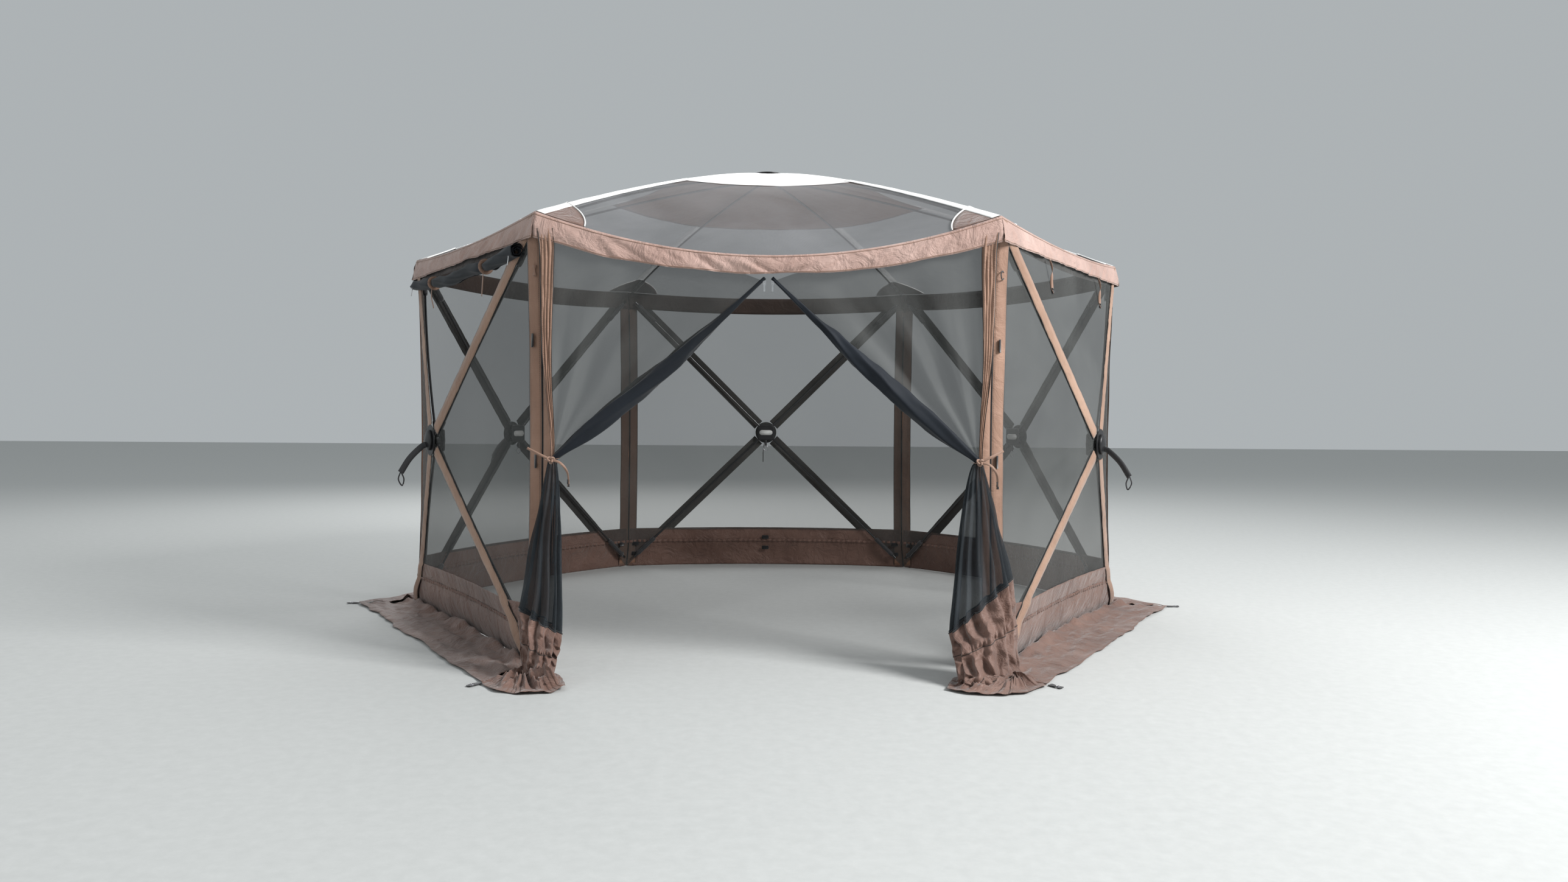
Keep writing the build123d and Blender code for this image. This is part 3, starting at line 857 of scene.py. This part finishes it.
def valance(angle):
    side = side_at[angle]
    flare = 0.020 if angle != DOOR_ANGLE else 0.010

    def place(u, v):
        s = 1 - 2 * u
        top = roof_point(angle, s, CORNER_RADIUS)
        slant = s * 15 + v * 2.4 * (1 if s > 0 else -1)
        wave = 0.007 * crease(s * 6, v * 1.5, angle, 0.8) + 0.010 * crease(slant, v * 0.7, angle)
        wave += 0.006 * crease(slant * 2.1, v * 1.4, angle + 5)
        wave *= smooth(v * 2.2) * (1 - 0.6 * abs(s) ** 4)
        out = 0.004 + flare * v * v + 0.008 * sin(pi * v) + wave
        hem = 0.006 * crease(s * 5, 3, angle) * v
        meet = side.along * copysign(out * abs(s) ** 12 * tan(pi / 6), s)
        return top + side.out * out + meet - Z * (valance_depth(s) * v + hem - 0.003)

    size = (2 * HALF, 0.09)
    # The valance's inner face is painted near-black as shade.
    cloth = surface(f"valance_{angle}", place, 150, 12, VALANCE, size, CLOTH, inside=PAINTED_SHADE_CLOTH)
    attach(cloth, "fabric")
    for row, v in (("top", 0.10), ("hem", 0.93)):
        line = [place(k / 150, v) + side.out * 0.0012 for k in range(151)]
        seam = tube(f"valance_{angle}_{row}_seam", line, 0.0013, TAPE, 6)
        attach(seam, "fabric")
    return cloth


valances = {angle: valance(angle) for angle in side_at}
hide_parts("valance")

HEADER = (2 * HALF, 0.105)


def header(wall):
    def place(u, v):
        x, y = lerp(-HALF, HALF, u) * 0.996, EAVE - 0.002 - HEADER[1] * (1 - v)
        return sides[wall].point(x, y, -0.004 + 0.002 * crease(x * 9, y * 12, WALLS[wall]))

    # The header sheet inside the eave is drawn in the near-black cloth that paints shade.
    cloth = surface(f"{wall}_header", place, 90, 6, PAINTED_SHADE_CLOTH, HEADER, CLOTH)
    follow_wall(cloth, wall)


for wall in sides:
    header(wall)


# ---- front door
def front(across, height, forward):
    """Point by metres across the door, above the ground and out in front of the door's plane."""
    return door.middle + door.step(across, height, forward)


def rolled(name, line, radius, turns, seed, twist=9.0):
    """Netting rolled up along a line: a spiral with the slanting creases of twisted cloth."""
    count = len(line) - 1

    def place(u, v):
        i = round(v * count)
        p = line[i]
        ahead = heading(line, i)
        across = ahead.cross(Z).normalized()
        upward = across.cross(ahead)
        turn = tau * turns * u
        r = radius(v) * lerp(0.3, 1.0, u**0.6)
        slant = 1 - abs(sin(2.5 * turn + twist * v + 2 * crease(v * 3, u, seed)))
        ridge = 1 - 2.4 * abs(crease(u * turns * 2.2 + v * 2, v * 5, seed + 2))
        r *= 0.9 + u * (0.26 * slant + 0.18 * ridge + 0.14 * crease(u * 9, v * 12, seed, 0.7))
        return p + across * r * cos(turn) + upward * r * sin(turn)

    roll = surface(name, place, 110, count, HEM_MESH, (0.3, 1.0), 0.0007)
    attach(roll, "fabric")
    around = tau * turns * 0.72 * sum(radius(k / 10) for k in range(11)) / 11
    path_length(line)


def upper_net(name, hand, hem):
    """The flap above its tie: folds fan out from the tie to the eave. hem runs from the top."""
    tie = hem[-1]
    count = len(hem) - 1
    middle = roof_point(DOOR_ANGLE, 0, CORNER_RADIUS)

    def place(u, v):
        s = hand * lerp(0.008, (HALF - 0.03) / HALF, u)
        top = roof_point(DOOR_ANGLE, s, CORNER_RADIUS) + door.step(0, -0.012, -0.008)
        p = lerp(tie, top, v)
        down = (1 - v) * count
        k = min(int(down), count - 1)
        edge_point = lerp(hem[k], hem[k + 1], down - k)
        p += (edge_point - lerp(tie, middle, v)) * (1 - u) ** 4
        belly = smooth(v * 2.5) * (1 - v) ** 0.8
        edge = sin(pi * u) ** 0.5
        fold = 0.030 * sin(tau * (3.2 * u + 0.15 * crease(v * 3, 0, hand)))
        fold += 0.016 * crease(u * 9, v * 1.6, 7 + hand) + 0.006 * crease(u * 24, v * 5, hand)
        return p + door.out * fold * belly * edge

    net = surface(f"{name}_door_net", place, 72, 60, MESH, (0.9, 1.0))
    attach(net, "fabric")
    return net


def bunch_point(pleats, seed, u, v, near, far, depth, pleat):
    """Point on a gathered flap: a flattened loop of cloth between two edge points."""
    turn = tau * u
    wide = (far - near).length
    fold = pleat * sin(pleats * turn + 2.2 * crease(v * 3, u * 2, seed))
    fold += pleat * 0.8 * crease(cos(turn) * 4, v * 4 + sin(turn) * 4, seed)
    push = door.out * sin(turn) + (far - near) / max(wide, 1e-4) * -cos(turn)
    p = lerp(near, far, 0.5 - 0.5 * cos(turn))
    return p + door.out * depth * sin(turn) + push * fold


FLAPS = {
    "left": {
        "hand": -1,
        "tie": (0.846, TIE_HEIGHT, 0.014),
        "seam": ((0.792, 0.175, 0.150), (0.950, 0.255, 0.085)),
        "foot": ((0.790, 0.012, 0.330), (0.930, 0.012, 0.150)),
        "outline": (
            (0.735, 0.365), (0.790, 0.425), (0.880, 0.440), (0.975, 0.405), (1.050, 0.290),
            (1.020, 0.180), (0.950, 0.060), (0.860, 0.080), (0.770, 0.200),
        ),
        "pleats": 11,
        "standing": 0.30,
        "areas": (0.26, 0.19),
    },
    "right": {
        "hand": 1,
        "tie": (0.836, TIE_HEIGHT, 0.014),
        "seam": ((0.712, 0.190, 0.170), (0.946, 0.375, 0.105)),
        "foot": ((0.722, 0.012, 0.320), (0.965, 0.012, 0.190)),
        "outline": (
            (0.665, 0.350), (0.735, 0.420), (0.850, 0.440), (0.950, 0.410), (1.045, 0.285),
            (1.015, 0.170), (0.950, 0.060), (0.850, 0.070), (0.720, 0.180),
        ),
        "pleats": 13,
        "standing": 0.18,
        "areas": (0.36, 0.24),
    },
}
TIE_NECK = 0.013
SEAM_DEPTH = 0.050
FOOT_DEPTH = 0.075
RUFFLE_AT = 0.42


def lower_flap(name, facts):
    """The flap below its tie: doubled netting, the brown band, and its skirt on the ground."""
    hand = facts["hand"]

    def spot(p):
        return front(hand * p[0], p[1], p[2])

    tie = spot(facts["tie"])
    seam_near, seam_far = (spot(p) for p in facts["seam"])
    foot_near, foot_far = (spot(p) for p in facts["foot"])
    pleats, seed = facts["pleats"], 11 * hand

    def order(u):
        return u if hand < 0 else 1 - u

    def net_place(u, v):
        side_step = door.along * hand * TIE_NECK
        near, far = lerp(tie - side_step, seam_near, v), lerp(tie + side_step, seam_far, v)
        near += door.along * hand * (seam_near - tie).dot(door.along * hand) * (v**0.6 - v)
        depth = lerp(TIE_NECK, SEAM_DEPTH, v)
        return bunch_point(pleats, seed, order(u), v * 0.8, near, far, depth, 0.002 + 0.015 * v)

    net_name = f"{name}_door_net_foot"
    net = surface(net_name, net_place, 144, 48, DOOR_MESH, (0.9, 0.6), round_u=True)
    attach(net, "fabric")

    def band_place(u, v):
        near, far = lerp(seam_near, foot_near, v), lerp(seam_far, foot_far, v)
        bulge = 0.010 * sin(pi * v)
        ruffle = 0.009 * exp(-(((v - RUFFLE_AT) / 0.035) ** 2))
        ruffle *= 1 + 0.7 * sin(tau * 46 * u)
        depth = lerp(SEAM_DEPTH, FOOT_DEPTH, v) + bulge + ruffle
        pleat = 0.017 * (1 - 0.6 * v)
        p = bunch_point(pleats, seed, order(u), 0.8 + v, near, far, depth, pleat)
        crumple = 0.022 * (0.5 - abs(crease(u * 14 + v * 2, v * 4, 3 * hand)) * 2)
        crumple += 0.008 * crease(u * 30, v * 12, 9)
        return p + door.out * crumple * smooth(v * 5)

    size = (0.9, 0.25)
    band = surface(f"{name}_door_band", band_place, 220, 56, BROWN, size, CLOTH, round_u=True)
    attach(band, "fabric")
    seam_line = [band_place(k / 110, 0.0) for k in range(111)]
    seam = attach(tube(f"{name}_door_seam", seam_line, 0.0032, PATCH, 6), "fabric")
    ruffle_line = [band_place(k / 220, RUFFLE_AT + 0.05) for k in range(221)]
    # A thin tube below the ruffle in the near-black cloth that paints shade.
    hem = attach(tube(f"{name}_door_band_hem", ruffle_line, 0.0022, PAINTED_SHADE_CLOTH, 6), "fabric")

    outline = [front(hand * a, 0.0, f) for a, f in facts["outline"]]
    outline.append(outline[0])
    curves = zip(spline(outline, 180), straight(outline, 180))
    rim = [lerp(soft, sharp, 0.6) for soft, sharp in curves]
    start = facts["standing"]

    def cuff_place(u, v):
        inner = band_place(u, 1.0)
        k = round((order(u) + 0.72) % 1.0 * 180)
        p = lerp(inner, rim[k], v)
        folds = 0.034 * (1 - 2.2 * abs(crease(u * 17, v * 1.6, 5 * hand)))
        folds += 0.018 * (1 - 2.0 * abs(crease(u * 8 + v * 3, v * 4, 8 * hand)))
        standing = 0.060 * exp(-(((u - start) / 0.035) ** 2))
        p += (p - foot_near) * 0.09 * crease(u * 13, 2, hand) * v
        p.z = 0.004 + max(folds + standing, 0.002) * sin(pi * min(0.12 + v, 0.97)) ** 0.7
        return p

    size = (1.2, 0.28)
    cuff = surface(f"{name}_door_skirt", cuff_place, 220, 26, BROWN, size, CLOTH, round_u=True)
    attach(cuff, "fabric")
    net_area, band_area = facts["areas"]
    return tie


def jamb(name, hand):
    """Creased tan edge of the flap: wide at the eave, drawn in to the tie, loose below it."""

    def place(u, v):
        y = lerp(0.42, 1.735, v)
        above = y - TIE_HEIGHT
        width = 0.013 + (0.054 * smooth(above / 1.1) ** 0.7 if above > 0 else 0.012)
        across = HALF - 0.002 - width * (u if hand > 0 else 1 - u)
        drawn = 0.045 * exp(-((above / 0.30) ** 2)) if above > 0 else 0.045
        fold = 0.008 * sin(tau * 2.1 * u + 4 * v) + 0.006 * crease(u * 3, v * 12, hand)
        pull = (door.point(HALF, y) - front(HALF, y, 0)).dot(door.along)
        step = across - drawn * (1 - abs(u - 0.5) * 0.2) + pull
        return front(hand * step, y, 0.010 + abs(fold))

    strip = surface(f"{name}_door_jamb", place, 16, 110, POST, (POST_HALF, 1.35), CLOTH)
    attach(strip, "fabric")


def knot(name, centre, size):
    """Small overhand knot."""
    path = []
    for k in range(49):
        t = tau * k / 48
        across, up = sin(t) + 2 * sin(2 * t), cos(t) - 2 * cos(2 * t)
        path.append(centre + door.step(across / 3, up / 3, -0.5 * sin(3 * t)) * size)
    return tube(name, path, size * 0.34, TAPE, 8)


def tape_tie(name, side, start, steps, width=0.010, tip=True, twist=(0, 0)):
    """Narrow tape from a point, by steps from it, with a black sealed tip. twist is how far it
    turns along the side and how often."""

    def facing(t):
        return (side.out + side.along * twist[0] * sin(twist[1] * t)).normalized()

    line = spline([start, *(start + side.step(*step) for step in steps)], 36)
    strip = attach(ribbon(name, line, width, facing, TAPE, 0.0014), "fabric")
    if tip:
        end = ribbon(f"{name}_tip", line[-7:], width * 1.08, facing, WEBBING, 0.0022)
        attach(end, "fabric")
    flat = (width, path_length(line))


def loop_tie(name, ring, facing, size):
    """Tape round something gathered."""
    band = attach(ribbon(name, ring, size[0], facing, TAPE, 0.0016), "fabric")
    return band


HEM_PEAK = 0.031


def hem_radius(v):
    swell = smooth(v * 1.6) * (1 - smooth((v - 0.86) / 0.14) * 0.8)
    return 0.006 + HEM_PEAK * swell * (0.72 + 0.28 * v)


for name, facts in FLAPS.items():
    hand = facts["hand"]
    tie = lower_flap(name, facts)
    apex = front(hand * 0.014, DOOR_TOP + 0.02, 0.004)
    middle = lerp(apex, tie, 0.55) + door.step(0, -0.022, 0.012)
    hem = spline([apex, lerp(apex, middle, 0.5) - Z * 0.004, middle, tie], 110)
    net = upper_net(name, hand, hem)
    rolled(f"{name}_door_hem", hem, hem_radius, 2.2, hand * 3)
    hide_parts(f"{name}_door_flap")
    jamb(name, hand)
    ring = circle(tie, door.along * 0.022, door.out * 0.022, 24)
    loop = loop_tie(f"{name}_door_tie", ring, Z, (0.014, 0.138))
    for vertex in loop.data.vertices:
        vertex.co.z += 0.004 * sin(90 * vertex.co.x)
    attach(knot(f"{name}_door_knot", tie + door.out * 0.028, 0.013), "fabric")
    near = tie + door.out * 0.030
    tail = [(0.040, -0.012, 0.012), (0.066, -0.050, 0.006), (0.070, -0.105, 0)]
    arm = [(hand * 0.045, 0.022, 0), (hand * 0.095, 0.045, -0.018)]
    tape_tie(f"{name}_door_tie_tail", door, near, tail, twist=(0.9, 6))
    tape_tie(f"{name}_door_tie_arm", door, near, arm, tip=False)

# ---- rolled window and its ties
window = sides["left_front"]
TIE_SPOTS = (-0.41, 0.41)
ROLL_HEIGHT = 1.655
ROLL_HALF = 0.83
ROLL_STEPS = 120
roll_line = [
    window.point(x, ROLL_HEIGHT + 0.012 * crease(x * 3, 1, 4), 0.0)
    + window.out * (0.044 - (window.point(x, ROLL_HEIGHT) - window.middle).dot(window.out))
    for x in [lerp(-ROLL_HALF, ROLL_HALF, k / ROLL_STEPS) for k in range(ROLL_STEPS + 1)]
]


def roll_radius(v):
    x = lerp(-ROLL_HALF, ROLL_HALF, v)
    pinch = sum(0.35 * exp(-(((x - spot) / 0.035) ** 2)) for spot in TIE_SPOTS)
    end = 1 - 0.45 * exp(-((v / 0.03) ** 2))
    return (0.028 + 0.006 * crease(x * 5, 0, 2)) * (1 - pinch) * end


rolled("left_front_window_roll", roll_line, roll_radius, 2.6, 5, twist=20.0)
for k, spot in enumerate(TIE_SPOTS):
    centre = roll_line[round((spot + ROLL_HALF) / (2 * ROLL_HALF) * ROLL_STEPS)]
    ring = circle(centre, window.out * 0.026, Z * 0.026, 28)
    across = window.out.cross(Z)
    loop_tie(f"window_tie_{k}", ring, across, (0.016, 0.163))
    low = centre + window.step(0, -0.024, 0.012)
    tail = [(0.012, -0.045, 0.006), (0.03 - 0.05 * k, -0.10, 0)]
    tape_tie(f"window_tie_tail_{k}", window, low, tail, width=0.013, tip=False)
for k, end in enumerate((4, ROLL_STEPS - 4)):
    top = roll_line[end] + window.step(0, -0.014, 0.020)
    pull = [top, top - Z * 0.012, top + window.step(0, -0.040, 0.004)]
    slider = ribbon(f"window_zip_{k}", spline(pull, 12), 0.008, window.out, SILVER, 0.0024)
    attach(slider, "fabric")
    eye = circle(top + Z * 0.005, window.along * 0.006, Z * 0.006, 20)
    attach(tube(f"window_zip_eye_{k}", eye, 0.0015, SILVER, 8), "fabric")
closed = sides["right_front"]
for k, spot in enumerate(TIE_SPOTS):
    top, slip = closed.point(spot, 1.715, 0.020), 0.035 - 0.012 * k
    tail = [(0.4 * slip, -0.045, 0.010), (0.8 * slip, -0.10, 0.004), (1.1 * slip, -0.15, 0.008)]
    tape_tie(f"closed_window_tie_{k}", closed, top, tail, width=0.013, twist=(1.4, 7))
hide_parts("tie_tapes")


# ---- hubs: covers, labels, straps
def rounded_block(name, centre, along, half, depth, power, crown):
    """Block with a rounded-square outline, bevelled edges and a slightly crowned face."""
    out = along.cross(Z).normalized()
    rings = ((0, 0.96), (0.12, 1), (0.72, 1), (0.92, 0.95), (1, 0.86), (1, 0.5), (1, 0))
    around = 48
    points, faces, uvs = [], [], []
    for level, share in rings:
        for k in range(around):
            turn = tau * k / around
            c, s = cos(turn), sin(turn)
            r = (abs(c) ** power + abs(s) ** power) ** (-1 / power) * share
            lift = depth * (level + crown * (1 - share) * level)
            x, y = r * c * half[0], r * s * half[1]
            points.append(centre + along * x + Z * y + out * lift)
            uvs.append((x, y))
    for j in range(len(rings) - 1):
        for k in range(around):
            a, b = j * around + k, j * around + (k + 1) % around
            faces.append((a, b, b + around, a + around))
    faces.append(tuple(reversed(range(around))))
    return make(name, points, faces, PLASTIC, uvs)


HUB_INNER = BULGE - 0.042
for wall, side in sides.items():
    body = f"{wall}_hub"
    centre = side.middle + side.step(0, HUB_Z, HUB_INNER - 0.0006)
    name = f"{wall}_hub_cover"
    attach(rounded_block(name, centre, -side.along, (0.055, 0.050), 0.008, 8.0, 0.15), body)
    face = centre - side.out * 0.0082
    plate = patch(f"{wall}_hub_label", face, -side.along, (0.088, 0.033), LABEL, 0.0016, corner=0.5)
    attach(plate, body)
    rim = []
    for k in range(61):
        c, s = cos(tau * k / 60), sin(tau * k / 60)
        across, up = copysign(abs(c) ** 0.75, c), copysign(abs(s) ** 0.55, s)
        rim.append(face + side.step(0.046 * across, 0.0188 * up, -0.001))
    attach(tube(f"{wall}_hub_label_rim", rim, 0.0011, PLASTIC, 6), body)
    outer = side.middle + side.step(0, HUB_Z, BULGE + PLATE_PROUD - 0.0005)
    name = f"{wall}_hub_outer"
    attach(rounded_block(name, outer, side.along, (0.046, 0.046), 0.014, 2.0, 0.6), body)
    tab = [centre + side.step(0, *p) for p in ((-0.046, -0.004), (-0.072, -0.008), (-0.090, -0.004))]
    tab = spline(tab, 14)
    pull_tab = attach(ribbon(f"{wall}_pull_tab", tab, 0.013, side.out, WEBBING, 0.002), body)
    ring = circle(tab[-1] - Z * 0.014, side.along * 0.016, Z * 0.016, 28)
    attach(tube(f"{wall}_pull_ring", ring, 0.0022, STEEL, 8), body)
    lean = 0.018 if wall != "right_front" else -0.012
    line = [(0, -0.018, 0.012), (0, -0.030, 0.038), (lean * 0.6, -0.080, 0.092), (lean, -0.143, 0.134)]
    line = spline([outer + side.step(*p) for p in line], 40)
    facing = side.along + Z * 0.4
    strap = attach(ribbon(f"{wall}_strap", line, 0.027, facing, WEBBING, 0.0028), body)
    loop = ((0.004, 0), (-0.030, 0.010), (-0.058, -0.006), (-0.030, -0.014), (0.002, -0.002))
    loop = spline([line[-1] + side.step(0, *p) for p in loop], 48)
    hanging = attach(tube(f"{wall}_strap_loop", loop, 0.0032, WEBBING, 8), body)
    flat = (0.025, path_length(line))
    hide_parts(f"{wall}_pull_strap")

# ---- pockets at the rods' tips
POCKET = 0.150


def pocket(name, tip, body, bow_out, sagitta):
    """Webbing sleeve over the end of a rod, sewn flat at its mouth."""
    pin = PIVOTS[body]
    reach = (pin - tip).length
    ahead = (pin - tip) / reach
    path = []
    for k in range(15):
        d = lerp(-0.012, POCKET, k / 14)
        bow = 4 * d * (reach - d) / reach**2 * sagitta
        path.append(tip + ahead * d + bow_out * bow)
    sleeve = tube(
        name,
        path,
        lambda t: 0.0125 + 0.0020 * sin(9 * t) ** 2 - 0.004 * smooth((0.15 - t) / 0.15),
        WEBBING,
        14,
        squash=0.82,
        flat=bow_out,
    )
    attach(sleeve, body)


for wall, side in sides.items():
    for corner, (hx, hy) in CORNERS.items():
        x = hx * (HALF - TIP_IN)
        y = TIP_UP if hy < 0 else EAVE - TIP_UP
        tip = side.middle + side.step(x, y, -TIP_BEHIND)
        pocket(f"{wall}_pocket_{corner}", tip, f"{wall}_rod_{corner}", side.out, 0.0096)
for name, angle in RIB_ANGLES.items():
    tip = unit(angle) * RIB_TIP + Z * EAVE
    pocket(f"roof_pocket_{name}", tip, f"roof_rib_{name}", Z, 0.0385)

# ---- small trim
for label, corner, off, y, size in (
    ("a", 240, -0.034, 1.30, (0.026, 0.054)),
    ("b", 240, -0.022, 0.82, (0.026, 0.054)),
    ("c", 300, -0.030, 1.285, (0.026, 0.052)),
    ("d", 300, 0.024, 1.292, (0.024, 0.052)),
    ("e", 300, 0.020, 0.828, (0.024, 0.052)),
):
    wall = side_at[(corner + (30 if off > 0 else -30)) % 360]
    centre = corner_point(corner, off, y, OUTSIDE + 0.009)
    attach(patch(f"post_patch_{label}", centre, wall.along, size, PATCH, 0.0022), "fabric")
back = sides["back"]
inner_patches = [("middle", back, 0.0, 0.185), ("middle_low", back, 0.0, 0.115)]
for label, side, x in (
    ("left_a", back, 0.86),
    ("right_a", back, -0.86),
    ("left_b", sides["left_back"], -0.86),
    ("right_b", sides["right_back"], 0.86),
):
    inner_patches += [(label, side, x, 0.150), (f"{label}_low", side, x, 0.085)]
for label, side, x, y in inner_patches:
    centre, size = side.point(x, y, -0.008), (0.045, 0.024)
    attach(patch(f"band_patch_{label}", centre, -side.along, size, PATCH, 0.003), "fabric")
ring_at = corner_point(300, 0.022, 1.572, OUTSIDE + 0.012)
d_ring = circle(ring_at, side_at[330].along * 0.017, Z * 0.017, 32)
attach(tube("lantern_ring", d_ring, 0.0024, WEBBING, 8), "fabric")
toggle_at = corner_point(240, -0.014, 1.575, OUTSIDE + 0.012)
toggle = [toggle_at + Z * lerp(-0.021, 0.021, k / 12) for k in range(13)]
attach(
    tube("post_toggle", toggle, lambda t: 0.0052 + 0.0022 * cos(6.28 * t), TAPE, 12), "fabric"
)


def stake_tab(name, angle):
    """Doubled webbing tab with a steel grommet, lying on the ground at a flap's corner."""
    out = unit(angle)
    across = Z.cross(out)
    hole, middle = FLAP_RADIUS + 0.038, FLAP_RADIUS + 0.0275

    def place(u, v):
        t = tau * u
        c, s = cos(t), sin(t)
        r = (abs(c) ** 8 + abs(s) ** 8) ** (-1 / 8)
        inner = out * (hole + 0.006 * c) + across * 0.006 * s
        outer = out * (middle + 0.0325 * r * c) + across * 0.0125 * r * s
        p = lerp(inner, outer, v)
        p.z = 0.0045 + 0.0012 * sin(3 * t) * v
        return p

    tab = surface(f"stake_tab_{name}", place, 64, 6, WEBBING, (0.13, 0.012), 0.0028, round_u=True)
    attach(tab, "fabric")
    eyelet = circle(out * hole + Z * 0.0062, out * 0.0078, across * 0.0078, 30)
    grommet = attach(tube(f"stake_eyelet_{name}", eyelet, 0.0014, STEEL, 8), "fabric")
    return tab


tabs = [stake_tab(name, angle) for name, angle in RIB_ANGLES.items()]
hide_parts("stake_tabs")
